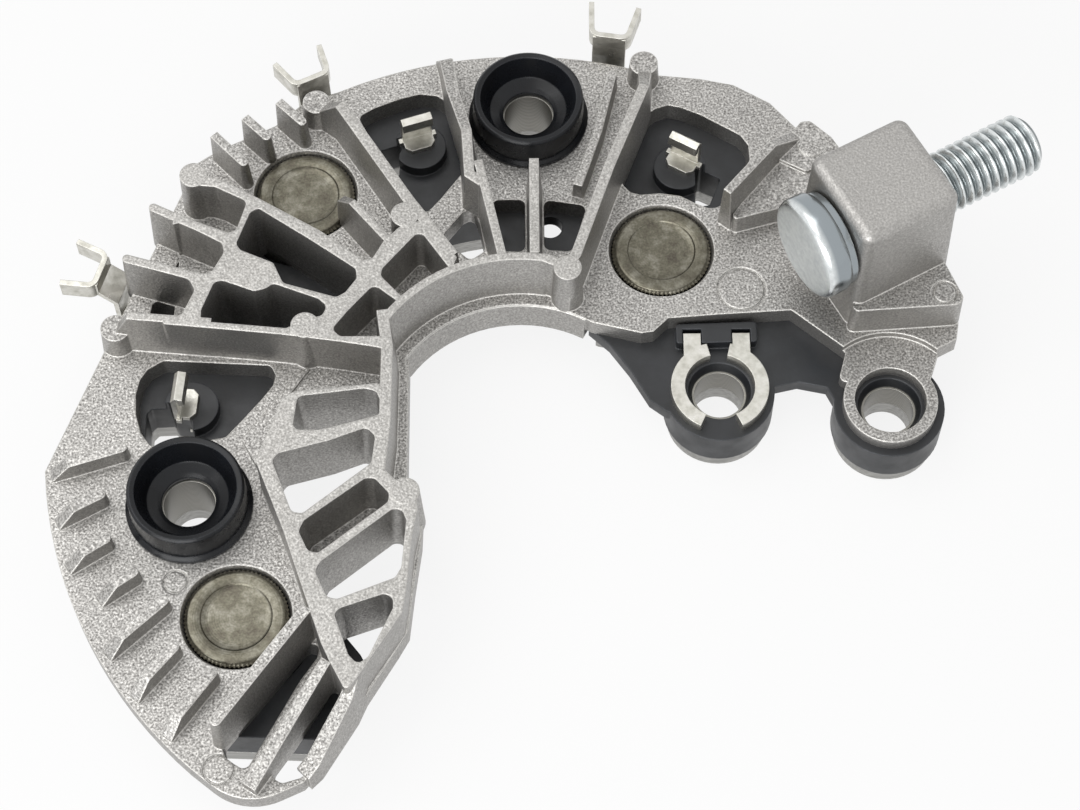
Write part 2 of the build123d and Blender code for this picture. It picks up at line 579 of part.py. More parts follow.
def clip(at, angle):
    """Hook that stands on a tower of the moulding, on a foot with cut corners and two ears."""
    z = Z0 - TOWER_DROP + STRIP_T / 2
    leg = sheet([(CLIP_BACK + STRIP_T / 2, STRIP_Z), (CLIP_BACK + STRIP_T / 2, z)], STRIP_T, 2.6, at, angle)
    hook = sheet([(CLIP_OUT - 0.6, z), (CLIP_OUT, z), (CLIP_OUT, Z0 + 3.5), (CLIP_OUT - 0.35, Z0 + 4.0),
                  (CLIP_OUT - 0.85, Z0 + 3.9), (CLIP_OUT - 1.0, Z0 + 2.8)], STRIP_T, CLIP_W, at, angle)
    half = CLIP_W / 2
    foot = [(CLIP_BACK, -half + 0.7), (CLIP_BACK, half - 0.7), (CLIP_BACK + 0.7, half), (CLIP_OUT - 0.7, half),
            (CLIP_OUT - 0.7, half + 0.5), (CLIP_OUT, half + 0.5), (CLIP_OUT, -half - 0.5),
            (CLIP_OUT - 0.7, -half - 0.5), (CLIP_OUT - 0.7, -half), (CLIP_BACK + 0.7, -half)]
    sole = Pos(*at, 0) * Rot(0, 0, angle) * slab(contour(foot), z - STRIP_T / 2, z + STRIP_T / 2)
    return leg + hook + sole


# Each fork: polar place of its cup, direction, lean of its stem, splay of its legs and leg length
FORKS = [
    (polar(R_LEFT - 1.75, 158.3), 163.0, 2.4, (10.0, 10.0), 4.3),
    (polar(R_TOP + 1.65, 118.5), 116.0, 0.1, (15.0, 8.0), 4.3),
    (polar(R_TOP + 2.3, 77.8), 80.5, 0.3, (9.0, 10.0), 5.0),
]
# Flat runs inside the moulding: from the stem to the clip, then to both diodes
FLAT_RUNS = [
    [[(-47.4, 8.6), (-40.4, 7.2), (-40.4, 2.6)], [(-41.0, 7.2), NEG_DIODES[0]],
     [(-39.8, 4.0), (-35.4, 0.0), (-34.0, -6.0), (-34.0, -16.0), POS_DIODES[0]]],
    [[(-22.0, 45.0), (-13.4, 44.6), (-12.2, 39.6)], [(-20.6, 45.0), (-19.6, 38.0), NEG_DIODES[1]],
     [(-22.4, 45.0), (-27.0, 39.4), POS_DIODES[1]]],
    [[(12.2, 46.4), (19.4, 42.2), (20.3, 36.2)], [(12.6, 47.0), NEG_DIODES[2]],
     [(13.6, 38.0), (15.5, 31.0), POS_DIODES[2]]],
]
RUN_WIDTHS = (2.4, 2.0, 1.6)
strips = []
for i in range(3):
    strip = fork(*FORKS[i]) + clip(*CLIPS[i])
    at, angle, lean = FORKS[i][:3]
    stem_foot = (at[0] - (lean - 0.2) * polar(1, angle)[0], at[1] - (lean - 0.2) * polar(1, angle)[1])
    FLAT_RUNS[i][0].insert(0, stem_foot)
    for path, width in zip(FLAT_RUNS[i], RUN_WIDTHS):
        strip += flat_strip(path, width)
    for at in (POS_DIODES[i], NEG_DIODES[i]):
        strip += disc(at, 1.6, STRIP_Z, STRIP_Z + STRIP_T)
        strip -= disc(at, LEAD_R, STRIP_Z - 1, STRIP_Z + 2)
    strips.append(strip)
    export_step(strip, f"parts/phase_terminal_{i + 1}.step")

# Moulded connection plate
band = contour([
    (8.8, 15.4), (*polar(21.0, 61.0), 1), polar(25.0, 80.0), polar(25.0, 95.0), polar(32.0, 96.0),
    (*polar(32.0, 104.0), 1), polar(32.0, 113.0), polar(25.0, 115.0), (*polar(25.0, 142.0), 1),
    polar(25.0, 170.0), (-31.8, 1.0), (-32.6, -1.0), (-32.6, -5.0), (-31.4, -9.0), (-29.0, -17.0),
    (-26.6, -22.0), (-22.3, -25.2), (-19.3, -29.0), (-17.3, -32.8), (-16.9, -35.0, 1), (-17.6, -37.4),
    (-18.6, -39.0, 1), (-20.6, -39.9), (-36.0, -39.2), (-42.0, -39.0), (-80.0, -39.0), (-80.0, 80.0),
    (80.0, 80.0), (80.0, 5.0), (50.0, 5.0), (38.4, 6.8), (35.0, 7.5, 1), (31.6, 6.8), (18.2, 0.4),
    (16.3, 4.3), (13.9, 9.3), (11.4, 12.9),
])
inner_area = offset(cast_outline, amount=-MOULD_INSET)
mould = slab(inner_area & band, Z_NEG, Z_MOULD)
# Thin web between the lugs, full-depth lugs and the necks that join them to the plate
web = contour([(8.8, 15.4), (20.0, 24.0), (40.0, 24.0), (50.0, 14.0), (46.5, 3.0), (40.0, 3.6), (38.6, 6.6),
               (35.0, 7.4), (31.5, 6.6), (31.2, 4.0), (25.0, 2.0), (18.35, 3.4), (16.3, 5.0), (13.9, 9.3),
               (11.4, 12.9)])
mould += slab(web, Z_MOULD - WEB_T, Z_MOULD)
necks = [Pos(LUG_LEFT[0], LUG_LEFT[1] + NECK_L / 2) * Rectangle(NECK_W, NECK_L),
         Pos(LUG_RIGHT[0] - 0.8, LUG_RIGHT[1] + NECK_L / 2) * Rectangle(NECK_W, NECK_L)]
for at, neck in zip((LUG_LEFT, LUG_RIGHT), necks):
    mould += disc(at, LUG_R, Z_NEG, Z_MOULD) + slab(neck, Z_NEG, Z_MOULD)
for at, angle in CLIPS:
    mould += disc(at, TOWER_R, Z_MOULD - 0.5, Z0 - TOWER_DROP)
guide = rounded([(19.8, 12.2), (19.8, 14.9), (30.0, 15.2), (30.0, 12.4)], 0.4)
mould += slab(guide, Z_MOULD - 0.5, Z_MOULD + 1.6)
OPENINGS = [
    [(-46.8, 3.6), (-46.2, 4.3), (-43.8, 4.4), (-43.3, 3.2), (-41.4, 2.7), (-40.7, 1.6), (-40.5, -1.5),
     (-41.5, -3.0), (-46.8, -3.0)],
    [(-19.4, 40.0), (-18.2, 42.2), (-15.3, 43.2), (-14.8, 42.0), (-15.6, 40.6), (-15.7, 38.4), (-17.0, 37.2)],
    [(23.6, 38.9), (26.4, 37.4), (24.8, 33.4), (23.0, 33.2), (22.9, 37.6)],
]
for points in OPENINGS:
    mould -= slab(rounded(points, 0.4), 0, Z0 + 5)
mould -= disc(VENT, VENT_R, 0, Z0)
mould -= disc((VENT[0], VENT[1] + VENT_RELIEF - 0.9), VENT_R + 1.3, 0, Z_MOULD - WEB_T)
for at in POS_DIODES:
    mould -= disc(at, SEAT_COLLAR_R + 0.6, STRIP_Z + STRIP_T, Z0)
    mould -= disc(at, LEAD_R + 0.3, 0, Z0)
for at in NEG_DIODES:
    mould -= disc(at, DIODE_R + 0.4, 0, STRIP_Z)
    mould -= disc(at, LEAD_R + 0.3, 0, DIODE_H + LEAD_L + 0.2)
for at in (BUSH_LEFT, BUSH_TOP):
    mould -= disc(at, BUSH_TUBE_R + FIT, 0, Z0)
for at in (LUG_LEFT, LUG_RIGHT):
    mould -= disc(at, SLEEVE_R, 0, Z_MOULD - SLEEVE_DROP)
    mould -= cone(at, BOLT_R + 0.2, LUG_MOUTH_R, Z_MOULD - SLEEVE_DROP - 0.1, Z_MOULD + 0.01)
for x in (21.8, 28.0):
    mould -= slab(Pos(x, 12.9) * Rectangle(CONTACT_TAB_W + 0.2, 2.6), Z_MOULD - 1.4, Z0)
for strip in strips:
    mould -= strip
print("moulding", round(mould.volume / 1000, 2), "cm3", mould.is_valid, len(mould.solids()), "solids")
export_step(mould, "parts/connection_plate.step")

# Negative heat sink sheet under the moulding
negative = slab(offset(cast_outline, amount=-MOULD_INSET - NEG_INSET) & band, 0, Z_NEG)
for at, neck in zip((LUG_LEFT, LUG_RIGHT), necks):
    negative += disc(at, LUG_R - NEG_INSET, 0, Z_NEG) + slab(neck, 0, Z_NEG)
for points in OPENINGS:
    negative -= slab(rounded(points, 0.4), -1, Z_NEG + 1)
for at in NEG_DIODES:
    negative -= disc(at, DIODE_R, -1, Z_NEG + 1)
for at in (BUSH_LEFT, BUSH_TOP, LUG_LEFT, LUG_RIGHT):
    negative -= disc(at, BOLT_R, -1, Z_NEG + 1)
for at in POS_DIODES:
    negative -= disc(at, LEAD_R + 2.0, -1, Z_NEG + 1)
negative -= disc((VENT[0], VENT[1] + VENT_RELIEF + 0.6), VENT_R + 1.3, -1, Z_NEG + 1)
print("negative", round(negative.volume / 1000, 2), "cm3", negative.is_valid, len(negative.solids()), "solids")
export_step(negative, "parts/negative_heat_sink.step")

# Insulating bushes with their steel sleeves
for name, at in (("left", BUSH_LEFT), ("top", BUSH_TOP)):
    lip = Z0 + 1.0
    bush = turned_at(at, [
        (SLEEVE_R, Z_NEG), (BUSH_TUBE_R, Z_NEG), (BUSH_TUBE_R, Z0), (BUSH_SEAT_R, Z0), (BUSH_SEAT_R, Z0 + 0.5),
        (BUSH_RIM_R + 0.15, Z0 + 0.9), (BUSH_RIM_R, Z0 + BUSH_H - 0.3), (BUSH_RIM_R - 0.3, Z0 + BUSH_H),
        (BUSH_RIM_R - 0.9, Z0 + BUSH_H - 0.1), (5.0, Z0 + 2.0), (3.8, lip + 0.35), (BOLT_R + 0.15, lip),
        (BOLT_R + 0.15, Z0 + 0.2), (SLEEVE_R, Z0 + 0.2),
    ])
    export_step(bush, f"parts/insulating_bush_{name}.step")
    tube = turned_at(at, [(BOLT_R, Z_NEG), (SLEEVE_R, Z_NEG), (SLEEVE_R, Z0 + 0.2), (BOLT_R, Z0 + 0.2)])
    export_step(tube, f"parts/bush_sleeve_{name}.step")
for name, at in (("left", LUG_LEFT), ("right", LUG_RIGHT)):
    top = Z_MOULD - SLEEVE_DROP
    tube = turned_at(at, [(BOLT_R, Z_NEG), (SLEEVE_R, Z_NEG), (SLEEVE_R, top), (BOLT_R, top)])
    export_step(tube, f"parts/lug_sleeve_{name}.step")

# Spring contact halves on the left lug
for name, first, sweep, x in (("left", 104.0, 141.0, 21.8), ("right", -65.0, 141.0, 28.0)):
    shape = [(CONTACT_IN, Z_MOULD), (CONTACT_OUT, Z_MOULD), (CONTACT_OUT, Z_MOULD + CONTACT_T),
             (CONTACT_IN, Z_MOULD + CONTACT_T)]
    half = Pos(*LUG_LEFT, 0) * turned(shape, first, sweep)
    arm = slab(Pos(x, 11.9) * Rectangle(CONTACT_TAB_W, 3.4), Z_MOULD, Z_MOULD + CONTACT_T)
    tab = slab(Pos(x, 13.3) * Rectangle(CONTACT_TAB_W, 0.7), Z_MOULD - 1.4, Z_MOULD + CONTACT_T)
    export_step(half + arm + tab, f"parts/contact_half_{name}.step")

# Output stud: round head against the block and a shank through it; its thread is fine
seat = -BLOCK / 2 - HEAD_CLEAR
head_end = seat - STUD_HEAD_T
free_start = BLOCK / 2 + 3 * BLOCK_LEAN + FIT
stud_profile = [
    (0, head_end), (STUD_HEAD_R - 1.4, head_end), (STUD_HEAD_R - 0.5, head_end + 0.25),
    (STUD_HEAD_R, head_end + 0.9), (STUD_HEAD_R, seat - 1.2), (STUD_HEAD_R - 0.45, seat - 0.8),
    (STUD_HEAD_R - 0.45, seat), (STUD_R + STUD_GRIP, seat), (STUD_R + STUD_GRIP, free_start),
    (STUD_R, free_start), (STUD_R, STUD_END - STUD_CHAMFER), (STUD_R - STUD_CHAMFER, STUD_END), (0, STUD_END),
]
stud = Rot(0, 90, 0) * turned_at((0, 0), stud_profile)
stud = Pos(*BLOCK_AT, STUD_Z) * Rot(0, 0, STUD_ANGLE) * stud
print("stud", stud.is_valid, round(stud.volume, 1))
export_step(stud, "parts/b_plus_stud.step")
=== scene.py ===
import math

import bmesh
import bpy
from mathutils import Matrix, Vector


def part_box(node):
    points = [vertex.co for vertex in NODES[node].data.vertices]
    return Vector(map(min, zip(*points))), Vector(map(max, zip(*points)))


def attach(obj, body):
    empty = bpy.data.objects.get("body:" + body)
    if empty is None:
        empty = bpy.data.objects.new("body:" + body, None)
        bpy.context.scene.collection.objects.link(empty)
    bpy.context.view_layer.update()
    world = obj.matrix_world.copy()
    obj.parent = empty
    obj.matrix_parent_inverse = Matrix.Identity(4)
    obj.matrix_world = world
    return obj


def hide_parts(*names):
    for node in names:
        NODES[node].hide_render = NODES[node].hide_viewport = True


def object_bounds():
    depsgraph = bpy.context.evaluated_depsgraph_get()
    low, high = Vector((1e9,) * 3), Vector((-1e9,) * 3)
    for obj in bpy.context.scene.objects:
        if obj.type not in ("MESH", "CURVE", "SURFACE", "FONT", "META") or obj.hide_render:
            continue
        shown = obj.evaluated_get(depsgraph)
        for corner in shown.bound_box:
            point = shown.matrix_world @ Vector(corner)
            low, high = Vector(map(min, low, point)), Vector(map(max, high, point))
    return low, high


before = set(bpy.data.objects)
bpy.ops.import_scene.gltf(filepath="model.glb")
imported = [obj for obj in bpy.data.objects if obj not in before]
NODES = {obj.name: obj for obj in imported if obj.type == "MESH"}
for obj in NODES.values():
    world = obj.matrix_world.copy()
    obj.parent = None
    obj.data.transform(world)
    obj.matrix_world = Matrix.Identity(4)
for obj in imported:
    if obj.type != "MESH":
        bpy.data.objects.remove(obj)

bl_info = {
    "name": "Alternator Rectifier Looks",
    "version": (1, 0, 0),
    "blender": (4, 5, 0),
    "location": "3D View > Sidebar > Rectifier",
    "description": "Dresses the packed rectifier with its cast, plated and moulded finishes",
    "category": "Object",
}

MM = 0.001
CREST_Z = 18.0                    # top of the fins, in millimetres
BEVEL_ANGLE = math.radians(40)    # edges of the strips that turn more than this are bevelled
SMOOTH_ANGLE = math.radians(38)   # edges of built meshes that turn less than this are shaded smooth
CAD_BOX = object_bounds()
POSITIVE_DIODES = ("positive_diode_1", "positive_diode_2", "positive_diode_3")
NEGATIVE_DIODES = ("negative_diode_1", "negative_diode_2", "negative_diode_3")
PHASE_TERMINALS = ("phase_terminal_1", "phase_terminal_2", "phase_terminal_3")
CONTACTS = ("contact_half_left", "contact_half_right")
BUSHES = ("insulating_bush_left", "insulating_bush_top")
SLEEVES = ("bush_sleeve_left", "bush_sleeve_top", "lug_sleeve_left", "lug_sleeve_right")

# Sizes of the textures, in millimetres
CAST_MOTTLE = 9.0
TARNISH_CLOUD = 2.6
TARNISH_SPECK = 0.3
ZINC_CLOUD = 0.9
TIN_PATCH = 1.4
MELT_FLOW = 3.5
FIBRE = 0.35
# Repeats per millimetre of the lines that rolling and brushing leave
BRUSH_STRETCH = (0.12, 3.0, 3.0)
ROLL_STRETCH = (8.0, 8.0, 0.5)

# Camera of the photograph, in the frame of the part
PHOTO_WIDTH = 1080
PHOTO_FOCAL = 2750.0
CAMERA_TARGET = Vector((2.5, 3.0, 10.5)) * MM
CAMERA_DISTANCE = 342.0 * MM
CAMERA_ELEVATION = math.radians(63.0)
CAMERA_ROLL = math.radians(-0.5)
SENSOR_WIDTH = 36.0

# Lamps, in metres
KEY_AT = (-0.30, 0.10, 0.60)
KEY_SIZE = (0.6, 0.5)
KEY_COLOUR = (1.0, 0.997, 0.99)
FILL_AT = (-0.22, -0.52, 0.26)
FILL_SIZE = (0.6, 0.4)
FILL_COLOUR = (0.985, 0.992, 1.0)
FLOOR_DROP = 0.1 * MM
FLOOR_WHITE = 0.86                # share of the floor's white that the camera sees unlit

# Output stud: a point on its axis in the block, its direction and its sizes in millimetres
STUD_AT = Vector((44.4, 22.6, 23.0)) * MM
STUD_ANGLE = math.radians(28.3)
BLOCK_HALF = 6.2
HEAD_CLEAR = 0.4
BLOCK_REAR = 8.1                  # where the stud comes out of the block
STUD_R = 4.0
STUD_PITCH = 1.25
THREAD_DEPTH = 0.62
THREAD_START = BLOCK_HALF - 1.2
THREAD_STEPS = 12                 # rings of the mesh to one pitch
STUD_STEPS = 72                   # sides of the mesh round the stud
STUD_CHAMFER = 1.0
STUD_END = 22.2
HEAD_R = 6.6
HEAD_T = 4.4
HEAD_LOW = -BLOCK_HALF - HEAD_CLEAR - HEAD_T

# Pressed diode, sizes in millimetres from its face inwards
DIODE_R = 6.4
DIODE_FACE_R = 5.9
DIODE_RECESS_R = 4.25
DIODE_CUP_H = 4.2
DIODE_LEAD_R = 0.65
DIODE_LEAD_END = 6.1
KNURLS = 72
KNURL_DEPTH = 0.09


def srgb(code):
    """Linear colour from an sRGB hex code."""
    channels = []
    for i in (0, 2, 4):
        value = int(code[i:i + 2], 16) / 255
        channels.append(value / 12.92 if value <= 0.04045 else ((value + 0.055) / 1.055) ** 2.4)
    return (*channels, 1.0)


def grey(value):
    return (value, value, value, 1.0)


def add_node(tree, kind, values=None, links=None, stops=None, **settings):
    """Adds a shader node with its settings, socket values, incoming links and ramp stops."""
    node = tree.nodes.new(kind)
    for name, value in settings.items():
        setattr(node, name, value)
    for socket, value in (values or {}).items():
        node.inputs[socket].default_value = value
    for socket, source in (links or {}).items():
        tree.links.new(source, node.inputs[socket])
    if stops:
        elements = node.color_ramp.elements
        while len(elements) < len(stops):
            elements.new(0.5)
        for element, (position, colour) in zip(elements, stops):
            element.position = position
            element.color = colour
    return node


def new_material(name):
    material = bpy.data.materials.new(name)
    material.use_nodes = True
    material.node_tree.nodes.clear()
    return material, material.node_tree


def close_material(tree, shader):
    add_node(tree, "ShaderNodeOutputMaterial", links={"Surface": shader.outputs["BSDF"]})


# Sockets of a Mix node that mixes colours
MIX_A = 6
MIX_B = 7
MIX_RESULT = 2


def point_in_mm(tree):
    """Object coordinates in millimetres, so that a texture's scale is one over a size in millimetres."""
    coordinates = add_node(tree, "ShaderNodeTexCoord")
    scaled = add_node(tree, "ShaderNodeVectorMath", values={3: 1 / MM},
                      links={0: coordinates.outputs["Object"]}, operation="SCALE")
    return scaled.outputs["Vector"]


def soft_edges(tree, radius):
    """Normal with corners rounded to a radius, and a mask that is white along those corners."""
    soft = add_node(tree, "ShaderNodeBevel", values={"Radius": radius}, samples=6)
    geometry = add_node(tree, "ShaderNodeNewGeometry")
    turn = add_node(tree, "ShaderNodeVectorMath", operation="DOT_PRODUCT",
                    links={0: soft.outputs["Normal"], 1: geometry.outputs["Normal"]})
    mask = add_node(tree, "ShaderNodeValToRGB", links={"Fac": turn.outputs["Value"]},
                    stops=[(0.80, grey(1.0)), (0.985, grey(0.0))])
    return soft.outputs["Normal"], mask.outputs["Color"]


def die_cast_aluminium(settings):
    """Die-cast aluminium, shot-blasted: a fine sparkling grain on the faces that the blasting
    reaches, a faint mottle of the melt, smoother upright walls in a lighter tone that is a painted light,
    crests painted paler as a painted light, and corners brighter, partly from wear and partly a painted
    highlight."""
    material, tree = new_material("die_cast_aluminium_blasted")
    point = point_in_mm(tree)
    soft, edges = soft_edges(tree, settings.edge_radius)
    grain_scale = MM / settings.grain
    grain = add_node(tree, "ShaderNodeTexNoise", links={"Vector": point},
                     values={"Scale": grain_scale, "Detail": 3.0, "Roughness": 0.62})
    pits = add_node(tree, "ShaderNodeTexVoronoi", links={"Vector": point},
                    values={"Scale": 0.8 * grain_scale})
    mottle = add_node(tree, "ShaderNodeTexNoise", links={"Vector": point},
                      values={"Scale": 1 / CAST_MOTTLE, "Detail": 4.0, "Roughness": 0.55})
    speck = add_node(tree, "ShaderNodeValToRGB", links={"Fac": grain.outputs["Fac"]},
                     stops=[(0.30, srgb("6C6A67")), (0.48, srgb("A19F9C")), (0.68, srgb("DDDBD7"))])
    cloud = add_node(tree, "ShaderNodeValToRGB", links={"Fac": mottle.outputs["Fac"]},
                     stops=[(0.35, grey(0.88)), (0.65, grey(1.0))])
    base = add_node(tree, "ShaderNodeMix", data_type="RGBA", blend_type="MULTIPLY", values={0: 1.0},
                    links={MIX_A: speck.outputs["Color"], MIX_B: cloud.outputs["Color"]})
    # Corners are brighter, partly wear and partly a painted highlight
    wear_and_highlight = add_node(tree, "ShaderNodeMix", data_type="RGBA", values={MIX_B: srgb("E4E2DD")},
                    links={0: edges, MIX_A: base.outputs[MIX_RESULT]})
    # The tops of the fins and of the ladder are painted paler, a painted light on the top faces
    split = add_node(tree, "ShaderNodeSeparateXYZ", links={"Vector": point})
    band = add_node(tree, "ShaderNodeMapRange", links={"Value": split.outputs["Z"]},
                    values={"From Min": CREST_Z - 1.0, "From Max": CREST_Z + 1.0})
    crest = add_node(tree, "ShaderNodeValToRGB", links={"Fac": band.outputs["Result"]},
                     stops=[(0.40, grey(0.0)), (0.46, grey(0.45)), (0.54, grey(0.45)), (0.60, grey(0.0))])
    painted_top_light = add_node(tree, "ShaderNodeMix", data_type="RGBA", values={MIX_B: srgb("B2B0AC")},
                      links={0: crest.outputs["Color"], MIX_A: wear_and_highlight.outputs[MIX_RESULT]})
    # The block and the upright walls keep the smoother surface of the die, in a lighter even tone that on
    # the upright walls is a painted light
    block = add_node(tree, "ShaderNodeMapRange", links={"Value": split.outputs["Z"]},
                     values={"From Min": CREST_Z + 0.6, "From Max": CREST_Z + 2.6, "To Max": 0.65})
    geometry = add_node(tree, "ShaderNodeNewGeometry")
    facing = add_node(tree, "ShaderNodeSeparateXYZ", links={"Vector": geometry.outputs["Normal"]})
    upright_light = add_node(tree, "ShaderNodeMapRange", links={"Value": facing.outputs["Z"]},
                    values={"From Min": 0.2, "From Max": 0.8, "To Min": 0.6, "To Max": 0.0})
    smooth = add_node(tree, "ShaderNodeMath", operation="MAXIMUM",
                      links={0: block.outputs["Result"], 1: upright_light.outputs["Result"]})
    skin_and_wall_light = add_node(tree, "ShaderNodeMix", data_type="RGBA", values={MIX_B: srgb("A9A7A4")},
                    links={0: smooth.outputs["Value"], MIX_A: painted_top_light.outputs[MIX_RESULT]})
    rough = add_node(tree, "ShaderNodeValToRGB", links={"Fac": grain.outputs["Fac"]},
                     stops=[(0.3, grey(0.55)), (0.7, grey(0.40))])
    height = add_node(tree, "ShaderNodeMath", operation="ADD",
                      links={0: grain.outputs["Fac"], 1: pits.outputs["Distance"]})
    bump = add_node(tree, "ShaderNodeBump", values={"Strength": 0.5, "Distance": 0.06 * MM},
                    links={"Height": height.outputs["Value"], "Normal": soft})
    shader = add_node(tree, "ShaderNodeBsdfPrincipled", values={"Metallic": 1.0},
                      links={"Base Color": skin_and_wall_light.outputs[MIX_RESULT], "Roughness": rough.outputs["Color"],
                             "Normal": bump.outputs["Normal"]})
    close_material(tree, shader)
    return material


def rolled_aluminium():
    """Rolled aluminium sheet, deburred: satin, with short brush lines along the rolling direction."""
    material, tree = new_material("rolled_aluminium_sheet")
    point = point_in_mm(tree)
    soft, edges = soft_edges(tree, 0.3 * MM)
    stretched = add_node(tree, "ShaderNodeMapping", links={"Vector": point},
                         values={"Scale": BRUSH_STRETCH})
    lines = add_node(tree, "ShaderNodeTexNoise", links={"Vector": stretched.outputs["Vector"]},
                     values={"Scale": 1.0, "Detail": 3.0})
    colour = add_node(tree, "ShaderNodeValToRGB", links={"Fac": lines.outputs["Fac"]},
                      stops=[(0.35, srgb("8F8E8B")), (0.65, srgb("AAA9A6"))])
    # Corners are brighter, partly wear and partly a painted highlight
    wear_and_highlight = add_node(tree, "ShaderNodeMix", data_type="RGBA", values={MIX_B: srgb("C6C4BF")},
                    links={0: edges, MIX_A: colour.outputs["Color"]})
    bump = add_node(tree, "ShaderNodeBump", values={"Strength": 0.25, "Distance": 0.02 * MM},
                    links={"Height": lines.outputs["Fac"], "Normal": soft})
    shader = add_node(tree, "ShaderNodeBsdfPrincipled", values={"Metallic": 1.0, "Roughness": 0.42},
                      links={"Base Color": wear_and_highlight.outputs[MIX_RESULT], "Normal": bump.outputs["Normal"]})
    close_material(tree, shader)
    return material


def nickel_plate(centre):
    """Dull nickel plate on a drawn copper cup: olive grey, clouded, with faint rings from the press
    tool and a warm blush where the plate is thin."""
    material, tree = new_material("nickel_plated_copper")
    point = point_in_mm(tree)
    soft, edges = soft_edges(tree, 0.15 * MM)
    local = add_node(tree, "ShaderNodeVectorMath", links={0: point}, values={1: centre / MM},
                     operation="SUBTRACT")
    rings = add_node(tree, "ShaderNodeTexWave", wave_type="RINGS", rings_direction="Z",
                     links={"Vector": local.outputs["Vector"]},
                     values={"Scale": 1.1, "Distortion": 1.2, "Detail": 2.0, "Detail Scale": 2.0})
    cloud = add_node(tree, "ShaderNodeTexNoise", links={"Vector": point},
                     values={"Scale": 1 / TARNISH_CLOUD, "Detail": 5.0, "Roughness": 0.7})
    specks = add_node(tree, "ShaderNodeTexNoise", links={"Vector": point},
                      values={"Scale": 1 / TARNISH_SPECK, "Detail": 2.0})
    tone = add_node(tree, "ShaderNodeValToRGB", links={"Fac": cloud.outputs["Fac"]},
                    stops=[(0.30, srgb("57524A")), (0.48, srgb("69665A")), (0.68, srgb("88857A"))])
    speckled = add_node(tree, "ShaderNodeMix", data_type="RGBA", blend_type="SOFT_LIGHT",
                        values={0: 0.55},
                        links={MIX_A: tone.outputs["Color"], MIX_B: specks.outputs["Fac"]})
    # Corners are brighter, partly wear and partly a painted highlight
    wear_and_highlight = add_node(tree, "ShaderNodeMix", data_type="RGBA", values={MIX_B: srgb("B4AE9C")},
                    links={0: edges, MIX_A: speckled.outputs[MIX_RESULT]})
    height = add_node(tree, "ShaderNodeMath", operation="ADD",
                      links={0: rings.outputs["Fac"], 1: specks.outputs["Fac"]})
    bump = add_node(tree, "ShaderNodeBump", values={"Strength": 0.25, "Distance": 0.02 * MM},
                    links={"Height": height.outputs["Value"], "Normal": soft})
    shader = add_node(tree, "ShaderNodeBsdfPrincipled", values={"Metallic": 1.0, "Roughness": 0.32},
                      links={"Base Color": wear_and_highlight.outputs[MIX_RESULT], "Normal": bump.outputs["Normal"]})
    close_material(tree, shader)
    return material


